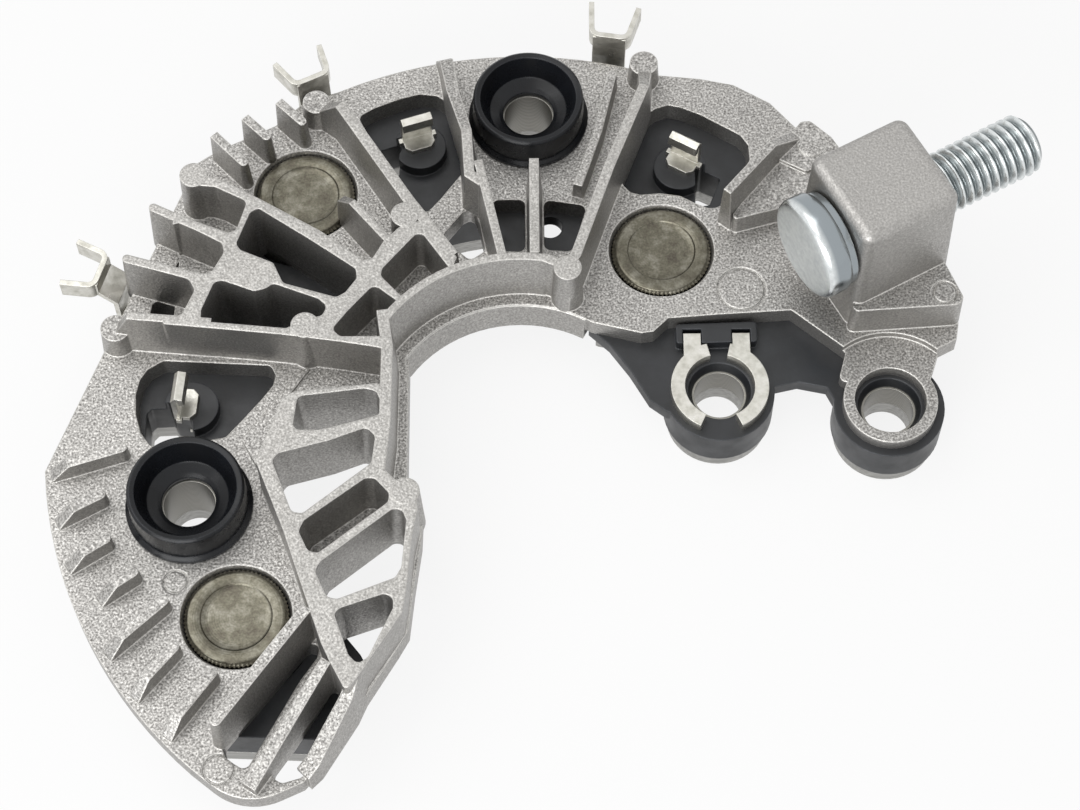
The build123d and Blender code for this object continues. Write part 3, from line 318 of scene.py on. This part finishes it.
def zinc_plate():
    """Bright zinc plate on a rolled steel stud: bluish, glossy, faintly clouded, with a matt face
    on the head, a painted dark reflection on the rim round it and a painted shade in the thread roots."""
    material, tree = new_material("bright_zinc_plated_steel")
    point = point_in_mm(tree)
    soft, edges = soft_edges(tree, 0.2 * MM)
    dull = add_node(tree, "ShaderNodeTexNoise", links={"Vector": point},
                    values={"Scale": 1 / ZINC_CLOUD, "Detail": 4.0, "Roughness": 0.6})
    colour = add_node(tree, "ShaderNodeValToRGB", links={"Fac": dull.outputs["Fac"]},
                      stops=[(0.35, srgb("D2D6D7")), (0.65, srgb("E6EAEA"))])
    rough = add_node(tree, "ShaderNodeValToRGB", links={"Fac": dull.outputs["Fac"]},
                     stops=[(0.35, grey(0.25)), (0.65, grey(0.19))])
    # Distance from the stud's axis finds the roots of the thread, on its length outside the block, where a
    # shade is painted
    axis = (math.cos(STUD_ANGLE), math.sin(STUD_ANGLE), 0.0)
    from_axis = add_node(tree, "ShaderNodeVectorMath", links={0: point}, values={1: STUD_AT / MM},
                         operation="SUBTRACT")
    across = add_node(tree, "ShaderNodeVectorMath", links={0: from_axis.outputs["Vector"]},
                      values={1: axis}, operation="CROSS_PRODUCT")
    along = add_node(tree, "ShaderNodeVectorMath", links={0: from_axis.outputs["Vector"]},
                     values={1: axis}, operation="DOT_PRODUCT")
    radius = add_node(tree, "ShaderNodeVectorMath", links={0: across.outputs["Vector"]},
                      operation="LENGTH")
    depth = add_node(tree, "ShaderNodeMapRange", links={"Value": radius.outputs["Value"]},
                     values={"From Min": STUD_R - THREAD_DEPTH, "From Max": STUD_R - 0.3 * THREAD_DEPTH,
                             "To Min": 1.0, "To Max": 0.0})
    outside = add_node(tree, "ShaderNodeMath", links={0: along.outputs["Value"]}, values={1: BLOCK_REAR},
                       operation="GREATER_THAN")
    short = add_node(tree, "ShaderNodeMath", links={0: along.outputs["Value"]}, values={1: STUD_END - 0.1},
                     operation="LESS_THAN")
    free = add_node(tree, "ShaderNodeMath", operation="MULTIPLY",
                    links={0: outside.outputs["Value"], 1: short.outputs["Value"]})
    # The face of the head is matt from the die that formed it
    face = add_node(tree, "ShaderNodeMapRange", links={"Value": along.outputs["Value"]},
                    values={"From Min": HEAD_LOW + 0.05, "From Max": HEAD_LOW + 0.4,
                            "To Min": 0.34, "To Max": 0.0})
    matt = add_node(tree, "ShaderNodeMath", links={0: rough.outputs["Color"], 1: face.outputs["Result"]},
                    operation="ADD")
    # Painted shade in the roots of the thread
    root = add_node(tree, "ShaderNodeMath", links={0: free.outputs["Value"], 1: depth.outputs["Result"]},
                    operation="MULTIPLY")
    root_painted_shade = add_node(tree, "ShaderNodeMix", data_type="RGBA", values={MIX_B: srgb("6E7678")},
                      links={0: root.outputs["Value"], MIX_A: colour.outputs["Color"]})
    # The rim of the head is painted darker than its face, a painted dark reflection
    behind = add_node(tree, "ShaderNodeMapRange", links={"Value": along.outputs["Value"]},
                      values={"From Min": HEAD_LOW + 0.7, "From Max": HEAD_LOW + 1.5})
    ahead = add_node(tree, "ShaderNodeMath", links={0: along.outputs["Value"]}, values={1: -BLOCK_HALF},
                     operation="LESS_THAN")
    rim = add_node(tree, "ShaderNodeMath", operation="MULTIPLY",
                   links={0: behind.outputs["Result"], 1: ahead.outputs["Value"]})
    rim_dark_reflection = add_node(tree, "ShaderNodeMix", data_type="RGBA", values={MIX_B: srgb("989FA3")},
                      links={0: rim.outputs["Value"], MIX_A: root_painted_shade.outputs[MIX_RESULT]})
    # Corners are brighter, partly wear and partly a painted highlight
    wear_and_highlight = add_node(tree, "ShaderNodeMix", data_type="RGBA", values={MIX_B: srgb("E4E8E8")},
                    links={0: edges, MIX_A: rim_dark_reflection.outputs[MIX_RESULT]})
    bump = add_node(tree, "ShaderNodeBump", values={"Strength": 0.06, "Distance": 0.01 * MM},
                    links={"Height": dull.outputs["Fac"], "Normal": soft})
    shader = add_node(tree, "ShaderNodeBsdfPrincipled", values={"Metallic": 1.0},
                      links={"Base Color": wear_and_highlight.outputs[MIX_RESULT], "Roughness": matt.outputs["Value"],
                             "Normal": bump.outputs["Normal"]})
    close_material(tree, shader)
    return material


def tin_plate():
    """Tin plate on stamped strip: pale, satin, slightly warm, with fine rolling lines and small
    dull patches from handling."""
    material, tree = new_material("tin_plated_strip")
    point = point_in_mm(tree)
    soft, edges = soft_edges(tree, 0.12 * MM)
    patches = add_node(tree, "ShaderNodeTexNoise", links={"Vector": point},
                       values={"Scale": 1 / TIN_PATCH, "Detail": 5.0, "Roughness": 0.6})
    stretched = add_node(tree, "ShaderNodeMapping", links={"Vector": point},
                         values={"Scale": ROLL_STRETCH})
    lines = add_node(tree, "ShaderNodeTexNoise", links={"Vector": stretched.outputs["Vector"]},
                     values={"Scale": 1.0, "Detail": 2.0})
    colour = add_node(tree, "ShaderNodeValToRGB", links={"Fac": patches.outputs["Fac"]},
                      stops=[(0.33, srgb("B4B2A9")), (0.5, srgb("CBC9C1")), (0.7, srgb("DEDCD6"))])
    rough = add_node(tree, "ShaderNodeValToRGB", links={"Fac": patches.outputs["Fac"]},
                     stops=[(0.33, grey(0.42)), (0.7, grey(0.26))])
    # Corners are brighter, partly wear and partly a painted highlight
    wear_and_highlight = add_node(tree, "ShaderNodeMix", data_type="RGBA", values={MIX_B: srgb("E6E4DD")},
                    links={0: edges, MIX_A: colour.outputs["Color"]})
    bump = add_node(tree, "ShaderNodeBump", values={"Strength": 0.25, "Distance": 0.02 * MM},
                    links={"Height": lines.outputs["Fac"], "Normal": soft})
    shader = add_node(tree, "ShaderNodeBsdfPrincipled", values={"Metallic": 1.0},
                      links={"Base Color": wear_and_highlight.outputs[MIX_RESULT], "Roughness": rough.outputs["Color"],
                             "Normal": bump.outputs["Normal"]})
    close_material(tree, shader)
    return material


def turned_steel():
    """Turned steel sleeve: dull grey bore and face with fine lathe marks."""
    material, tree = new_material("turned_steel")
    point = point_in_mm(tree)
    soft, edges = soft_edges(tree, 0.12 * MM)
    # Lathe marks about 0.35 mm apart along the sleeve
    marks = add_node(tree, "ShaderNodeTexWave", wave_type="BANDS", bands_direction="Z",
                     links={"Vector": point}, values={"Scale": 0.9, "Distortion": 1.5, "Detail": 2.0})
    colour = add_node(tree, "ShaderNodeValToRGB", links={"Fac": marks.outputs["Fac"]},
                      stops=[(0.2, srgb("6F6D69")), (0.8, srgb("929089"))])
    # Corners are brighter, partly wear and partly a painted highlight
    wear_and_highlight = add_node(tree, "ShaderNodeMix", data_type="RGBA", values={MIX_B: srgb("B8B6B1")},
                    links={0: edges, MIX_A: colour.outputs["Color"]})
    bump = add_node(tree, "ShaderNodeBump", values={"Strength": 0.3, "Distance": 0.03 * MM},
                    links={"Height": marks.outputs["Fac"], "Normal": soft})
    shader = add_node(tree, "ShaderNodeBsdfPrincipled", values={"Metallic": 1.0, "Roughness": 0.36},
                      links={"Base Color": wear_and_highlight.outputs[MIX_RESULT], "Normal": bump.outputs["Normal"]})
    close_material(tree, shader)
    return material


def moulded_plastic(name, gloss_rough, dull_rough, shine, dark, light_shade):
    """Black filled plastic, moulded: a near-black cool shade, a soft sheen that varies with the
    flow of the melt, and a faint grain from the fibres."""
    material, tree = new_material(name)
    point = point_in_mm(tree)
    soft, edges = soft_edges(tree, 0.3 * MM)
    flow = add_node(tree, "ShaderNodeTexNoise", links={"Vector": point},
                    values={"Scale": 1 / MELT_FLOW, "Detail": 5.0, "Roughness": 0.55})
    fibres = add_node(tree, "ShaderNodeTexNoise", links={"Vector": point},
                      values={"Scale": 1 / FIBRE, "Detail": 3.0})
    colour = add_node(tree, "ShaderNodeValToRGB", links={"Fac": flow.outputs["Fac"]},
                      stops=[(0.35, srgb(dark)), (0.7, srgb(light_shade))])
    # Corners are brighter, partly wear and partly a painted highlight
    wear_and_highlight = add_node(tree, "ShaderNodeMix", data_type="RGBA", values={MIX_B: srgb("3A3D42")},
                    links={0: edges, MIX_A: colour.outputs["Color"]})
    rough = add_node(tree, "ShaderNodeValToRGB", links={"Fac": flow.outputs["Fac"]},
                     stops=[(0.35, grey(dull_rough)), (0.65, grey(gloss_rough))])
    bump = add_node(tree, "ShaderNodeBump", values={"Strength": 0.25, "Distance": 0.03 * MM},
                    links={"Height": fibres.outputs["Fac"], "Normal": soft})
    shader = add_node(tree, "ShaderNodeBsdfPrincipled", values={"IOR": 1.57, "Specular IOR Level": shine},
                      links={"Base Color": wear_and_highlight.outputs[MIX_RESULT], "Roughness": rough.outputs["Color"],
                             "Normal": bump.outputs["Normal"]})
    close_material(tree, shader)
    return material


def paint(obj, material):
    obj.data.materials.clear()
    obj.data.materials.append(material)


def dress(names, material):
    for name in names:
        paint(NODES[name], material)


def soften_corners(names, width):
    """Small real bevels on the sharp edges of CAD nodes."""
    for name in names:
        bevel = NODES[name].modifiers.new("edge_round", "BEVEL")
        bevel.width = width
        bevel.segments = 2
        bevel.limit_method = "ANGLE"
        bevel.angle_limit = BEVEL_ANGLE
        bevel.harden_normals = False


def ring_mesh(name, radii, heights, steps):
    """Mesh of stacked rings about Z. radii[i] is a function of the angle, or None for a pole."""
    mesh = bpy.data.meshes.new(name)
    bm = bmesh.new()
    rings = []
    for radius, height in zip(radii, heights):
        if radius is None:
            rings.append([bm.verts.new((0.0, 0.0, height * MM))])
            continue
        ring = []
        for k in range(steps):
            angle = math.tau * k / steps
            r = radius(angle) * MM
            ring.append(bm.verts.new((r * math.cos(angle), r * math.sin(angle), height * MM)))
        rings.append(ring)
    for low, high in zip(rings, rings[1:]):
        for k in range(steps):
            following = (k + 1) % steps
            if len(low) == 1:
                bm.faces.new((low[0], high[following], high[k]))
            elif len(high) == 1:
                bm.faces.new((low[k], low[following], high[0]))
            else:
                bm.faces.new((low[k], low[following], high[following], high[k]))
    bm.normal_update()
    for face in bm.faces:
        face.smooth = True
    for edge in bm.edges:
        edge.smooth = edge.calc_face_angle(0.0) < SMOOTH_ANGLE
    bm.to_mesh(mesh)
    bm.free()
    piece = bpy.data.objects.new(name, mesh)
    bpy.context.scene.collection.objects.link(piece)
    return piece


def constant(radius):
    return lambda angle: radius


def place(piece, matrix):
    """Puts a piece in the part's frame through its mesh, as the CAD nodes are."""
    piece.data.transform(matrix)
    piece.data.update()


def middle_of(node):
    low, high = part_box(node)
    return (low + high) / 2


def make_stud():
    """Output stud with its rounded head and its helical rolled thread, which starts in the block."""
    head = [
        (None, HEAD_LOW), (HEAD_R - 2.4, HEAD_LOW), (HEAD_R - 1.2, HEAD_LOW + 0.04),
        (HEAD_R - 0.65, HEAD_LOW + 0.16), (HEAD_R - 0.25, HEAD_LOW + 0.45), (HEAD_R, HEAD_LOW + 0.95),
        (HEAD_R, HEAD_LOW + 2.9), (HEAD_R - 0.12, HEAD_LOW + 3.25), (HEAD_R - 0.4, HEAD_LOW + 3.55),
        (HEAD_R - 0.45, HEAD_LOW + HEAD_T), (STUD_R, HEAD_LOW + HEAD_T), (STUD_R, -BLOCK_HALF + 0.5),
    ]
    radii = [None if r is None else constant(r) for r, x in head]
    heights = [x for r, x in head]
    step = STUD_PITCH / THREAD_STEPS
    x = THREAD_START
    while x < STUD_END - 0.05:
        radii.append(thread_radius(x))
        heights.append(x)
        x += step
    radii.append(constant(STUD_R - STUD_CHAMFER))
    heights.append(STUD_END)
    radii.append(None)
    heights.append(STUD_END)
    stud = ring_mesh("threaded_output_stud", radii, heights, STUD_STEPS)
    lie_down = Matrix.Rotation(STUD_ANGLE, 4, "Z") @ Matrix.Rotation(math.pi / 2, 4, "Y")
    place(stud, Matrix.Translation(STUD_AT) @ lie_down)
    return stud


def thread_radius(x):
    """Radius of the rolled thread at a height along the stud, as a function of the angle."""
    def radius(angle):
        turn = (x / STUD_PITCH - angle / math.tau) % 1.0
        flank = abs(turn - 0.5) * 2.0
        depth = THREAD_DEPTH * min(1.0, max(0.0, (flank - 0.12) / 0.72))
        run_in = min(1.0, x - THREAD_START)
        crest = STUD_R - depth * run_in
        return min(crest, STUD_R - STUD_CHAMFER + (STUD_END - x) * 1.1)
    return radius


def make_diode(name):
    """Press-fit diode cup with its stepped face and the knurled band that grips the heat sink."""
    def knurl(base):
        return lambda angle: base + KNURL_DEPTH * math.cos(KNURLS * angle)

    rings = [
        (None, 0.34), (constant(DIODE_RECESS_R - 0.9), 0.31), (constant(DIODE_RECESS_R - 0.15), 0.29),
        (constant(DIODE_RECESS_R + 0.02), 0.2), (constant(DIODE_RECESS_R + 0.1), 0.06),
        (constant(DIODE_RECESS_R + 0.25), 0.0), (constant(DIODE_FACE_R - 0.25), 0.0),
        (constant(DIODE_FACE_R - 0.06), 0.03), (constant(DIODE_FACE_R + 0.06), 0.12),
        (constant(DIODE_FACE_R + 0.12), 0.3), (knurl(DIODE_R - 0.25), 0.42), (knurl(DIODE_R - 0.1), 0.55),
        (knurl(DIODE_R - 0.1), DIODE_CUP_H - 0.3), (constant(DIODE_R - 0.3), DIODE_CUP_H),
        (constant(DIODE_LEAD_R), DIODE_CUP_H), (constant(DIODE_LEAD_R), DIODE_LEAD_END),
        (None, DIODE_LEAD_END),
    ]
    radii = [r for r, z in rings]
    heights = [z for r, z in rings]
    diode = ring_mesh(name.replace("diode", "pressed_diode"), radii, heights, 4 * KNURLS)
    low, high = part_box(name)
    centre = (low + high) / 2
    if name in POSITIVE_DIODES:
        face = Matrix.Translation((centre.x, centre.y, high.z)) @ Matrix.Rotation(math.pi, 4, "X")
    else:
        face = Matrix.Translation((centre.x, centre.y, low.z))
    place(diode, face)
    return diode


def light(name, location, size, power, colour, target):
    data = bpy.data.lights.new(name, "AREA")
    data.shape = "RECTANGLE"
    data.size = size[0]
    data.size_y = size[1]
    data.energy = power
    data.color = colour
    lamp = bpy.data.objects.new(name, data)
    lamp.location = location
    lamp.rotation_mode = "QUATERNION"
    lamp.rotation_quaternion = (Vector(target) - Vector(location)).to_track_quat("-Z", "Y")
    bpy.context.scene.collection.objects.link(lamp)
    return lamp


class CastingSettings(bpy.types.PropertyGroup):
    edge_radius: bpy.props.FloatProperty(
        name="Edge Radius", description="Rounding of the cast edges", default=0.35 * MM, min=0.0,
        unit="LENGTH", subtype="DISTANCE")
    grain: bpy.props.FloatProperty(
        name="Grain", description="Size of the blast grain", default=0.27 * MM, min=0.05 * MM,
        unit="LENGTH", subtype="DISTANCE")


class StripSettings(bpy.types.PropertyGroup):
    edge_round: bpy.props.FloatProperty(
        name="Edge Round", description="Rounding of the stamped edges", default=0.1 * MM, min=0.0,
        unit="LENGTH", subtype="DISTANCE")


class StageSettings(bpy.types.PropertyGroup):
    floor_size: bpy.props.FloatProperty(
        name="Floor Size", description="Side of the square floor", default=4.0, min=0.5,
        unit="LENGTH", subtype="DISTANCE")
    key_power: bpy.props.FloatProperty(
        name="Key Power", description="Power of the large lamp overhead, in watts", default=1.5, min=0.0)
    fill_power: bpy.props.FloatProperty(
        name="Fill Power", description="Power of the fill lamp, in watts", default=2.8, min=0.0)
    ambient: bpy.props.FloatProperty(
        name="Ambient", description="Strength of the even light of the room", default=0.4, min=0.0)


class RECTIFIER_OT_casting(bpy.types.Operator):
    """Gives the positive heat sink its blasted die-cast surface"""
    bl_idname = "rectifier.casting"
    bl_label = "Dress Casting"

    def execute(self, context):
        dress(["positive_heat_sink"], die_cast_aluminium(context.scene.rectifier_casting))
        return {"FINISHED"}


class RECTIFIER_OT_sheet(bpy.types.Operator):
    """Gives the negative heat sink its rolled sheet surface"""
    bl_idname = "rectifier.sheet"
    bl_label = "Dress Negative Heat Sink"

    def execute(self, context):
        dress(["negative_heat_sink"], rolled_aluminium())
        return {"FINISHED"}


class RECTIFIER_OT_mouldings(bpy.types.Operator):
    """Gives the connection plate and the insulating bushes their black moulded surface"""
    bl_idname = "rectifier.mouldings"
    bl_label = "Dress Mouldings"

    def execute(self, context):
        plate = moulded_plastic("glass_filled_polyester_moulded", 0.36, 0.5, 0.5, "121417", "202226")
        bush = moulded_plastic("phenolic_bush_moulded", 0.20, 0.32, 0.25, "0E0F12", "1A1C20")
        dress(["connection_plate"], plate)
        dress(BUSHES, bush)
        return {"FINISHED"}


class RECTIFIER_OT_strips(bpy.types.Operator):
    """Gives the phase terminals and the split contact their tin plate and softened edges"""
    bl_idname = "rectifier.strips"
    bl_label = "Dress Terminals"

    def execute(self, context):
        dress(PHASE_TERMINALS + CONTACTS, tin_plate())
        soften_corners(PHASE_TERMINALS + CONTACTS, context.scene.rectifier_strips.edge_round)
        return {"FINISHED"}


class RECTIFIER_OT_sleeves(bpy.types.Operator):
    """Gives the sleeves in the bolt holes their turned surface"""
    bl_idname = "rectifier.sleeves"
    bl_label = "Dress Sleeves"

    def execute(self, context):
        dress(SLEEVES, turned_steel())
        return {"FINISHED"}


class RECTIFIER_OT_diodes(bpy.types.Operator):
    """Builds the six pressed diodes with their knurled bands"""
    bl_idname = "rectifier.diodes"
    bl_label = "Build Diodes"

    def execute(self, context):
        for name in POSITIVE_DIODES + NEGATIVE_DIODES:
            diode = make_diode(name)
            paint(diode, nickel_plate(middle_of(name)))
            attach(diode, "root")
            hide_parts(name)
        return {"FINISHED"}


class RECTIFIER_OT_stud(bpy.types.Operator):
    """Builds the output stud with its helical thread"""
    bl_idname = "rectifier.stud"
    bl_label = "Build Output Stud"

    def execute(self, context):
        stud = make_stud()
        paint(stud, zinc_plate())
        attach(stud, "root")
        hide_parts("b_plus_stud")
        return {"FINISHED"}


class RECTIFIER_OT_stage(bpy.types.Operator):
    """Builds the pale floor, the studio light and the camera"""
    bl_idname = "rectifier.stage"
    bl_label = "Build Stage"

    def execute(self, context):
        settings = context.scene.rectifier_stage
        self.make_floor(settings)
        self.make_world(settings)
        low, high = CAD_BOX
        centre = (low + high) / 2
        light("key_lamp", KEY_AT, KEY_SIZE, settings.key_power, KEY_COLOUR, centre)
        light("fill_lamp", FILL_AT, FILL_SIZE, settings.fill_power, FILL_COLOUR, centre)
        self.make_camera(context)
        return {"FINISHED"}

    def make_floor(self, settings):
        low = CAD_BOX[0]
        half = settings.floor_size / 2
        mesh = bpy.data.meshes.new("floor")
        corners = [(-half, -half), (half, -half), (half, half), (-half, half)]
        mesh.from_pydata([(x, y, low.z - FLOOR_DROP) for x, y in corners], [], [(0, 1, 2, 3)])
        floor = bpy.data.objects.new("floor", mesh)
        bpy.context.scene.collection.objects.link(floor)
        material, tree = new_material("matt_white_paper")
        paper = add_node(tree, "ShaderNodeBsdfPrincipled",
                         values={"Base Color": srgb("F8F8F8"), "Roughness": 0.9,
                                 "Specular IOR Level": 0.1})
        seen = self.seen_directly(tree)
        share = add_node(tree, "ShaderNodeMath", operation="MULTIPLY", links={0: seen},
                         values={1: FLOOR_WHITE})
        white = add_node(tree, "ShaderNodeEmission", values={"Color": grey(1.0), "Strength": 1.0})
        mixed = add_node(tree, "ShaderNodeMixShader",
                         links={0: share.outputs["Value"], 1: paper.outputs["BSDF"],
                                2: white.outputs["Emission"]})
        add_node(tree, "ShaderNodeOutputMaterial", links={"Surface": mixed.outputs["Shader"]})
        paint(floor, material)

    def seen_directly(self, tree):
        """Socket that is 1 for rays from the camera and for those that metal or glass sends on."""
        path = add_node(tree, "ShaderNodeLightPath")
        seen = add_node(tree, "ShaderNodeMath", operation="MAXIMUM",
                        links={0: path.outputs["Is Camera Ray"], 1: path.outputs["Is Glossy Ray"]})
        seen = add_node(tree, "ShaderNodeMath", operation="MAXIMUM",
                        links={0: seen.outputs["Value"], 1: path.outputs["Is Transmission Ray"]})
        return seen.outputs["Value"]

    def make_world(self, settings):
        world = bpy.data.worlds.new("white_room")
        bpy.context.scene.world = world
        world.use_nodes = True
        tree = world.node_tree
        tree.nodes.clear()
        seen = self.seen_directly(tree)
        room = add_node(tree, "ShaderNodeBackground",
                        values={"Color": grey(1.0), "Strength": settings.ambient})
        white = add_node(tree, "ShaderNodeBackground", values={"Color": grey(1.0), "Strength": 1.0})
        mixed = add_node(tree, "ShaderNodeMixShader",
                         links={0: seen, 1: room.outputs["Background"], 2: white.outputs["Background"]})
        add_node(tree, "ShaderNodeOutputWorld", links={"Surface": mixed.outputs["Shader"]})

    def make_camera(self, context):
        data = bpy.data.cameras.new("photo_camera")
        data.sensor_width = SENSOR_WIDTH
        data.lens = PHOTO_FOCAL / PHOTO_WIDTH * SENSOR_WIDTH
        data.clip_start = 0.01
        data.clip_end = 10.0
        camera = bpy.data.objects.new("photo_camera", data)
        back = Vector((0.0, -math.cos(CAMERA_ELEVATION), math.sin(CAMERA_ELEVATION)))
        level = Vector((1.0, 0.0, 0.0))
        rise = back.cross(level)
        right = level * math.cos(CAMERA_ROLL) + rise * math.sin(CAMERA_ROLL)
        up = rise * math.cos(CAMERA_ROLL) - level * math.sin(CAMERA_ROLL)
        turn = Matrix((right, up, back)).transposed().to_4x4()
        camera.matrix_world = Matrix.Translation(CAMERA_TARGET + back * CAMERA_DISTANCE) @ turn
        context.scene.collection.objects.link(camera)
        context.scene.camera = camera
        context.scene.view_settings.view_transform = "Standard"


class RECTIFIER_PT_panel(bpy.types.Panel):
    """Lists the rectifier's steps and their settings"""
    bl_idname = "RECTIFIER_PT_panel"
    bl_label = "Rectifier"
    bl_space_type = "VIEW_3D"
    bl_region_type = "UI"
    bl_category = "Rectifier"

    def draw(self, context):
        scene = context.scene
        for settings, fields in ((scene.rectifier_casting, ("edge_radius", "grain")),
                                 (scene.rectifier_strips, ("edge_round",)),
                                 (scene.rectifier_stage,
                                  ("floor_size", "key_power", "fill_power", "ambient"))):
            for field in fields:
                self.layout.prop(settings, field)
        for step in STEPS:
            self.layout.operator(step.bl_idname)


SETTINGS = {
    "rectifier_casting": CastingSettings,
    "rectifier_strips": StripSettings,
    "rectifier_stage": StageSettings,
}
STEPS = (
    RECTIFIER_OT_stage, RECTIFIER_OT_casting, RECTIFIER_OT_sheet, RECTIFIER_OT_mouldings,
    RECTIFIER_OT_strips, RECTIFIER_OT_sleeves, RECTIFIER_OT_diodes, RECTIFIER_OT_stud,
)


def register():
    for name, group in SETTINGS.items():
        bpy.utils.register_class(group)
        setattr(bpy.types.Scene, name, bpy.props.PointerProperty(type=group))
    for step in STEPS:
        bpy.utils.register_class(step)
    bpy.utils.register_class(RECTIFIER_PT_panel)


def unregister():
    bpy.utils.unregister_class(RECTIFIER_PT_panel)
    for step in reversed(STEPS):
        bpy.utils.unregister_class(step)
    for name, group in SETTINGS.items():
        delattr(bpy.types.Scene, name)
        bpy.utils.unregister_class(group)


def main():
    register()
    bpy.ops.rectifier.stage()
    bpy.ops.rectifier.casting()
    bpy.ops.rectifier.sheet()
    bpy.ops.rectifier.mouldings()
    bpy.ops.rectifier.strips()
    bpy.ops.rectifier.sleeves()
    bpy.ops.rectifier.diodes()
    bpy.ops.rectifier.stud()


if __name__ == "__main__":
    main()
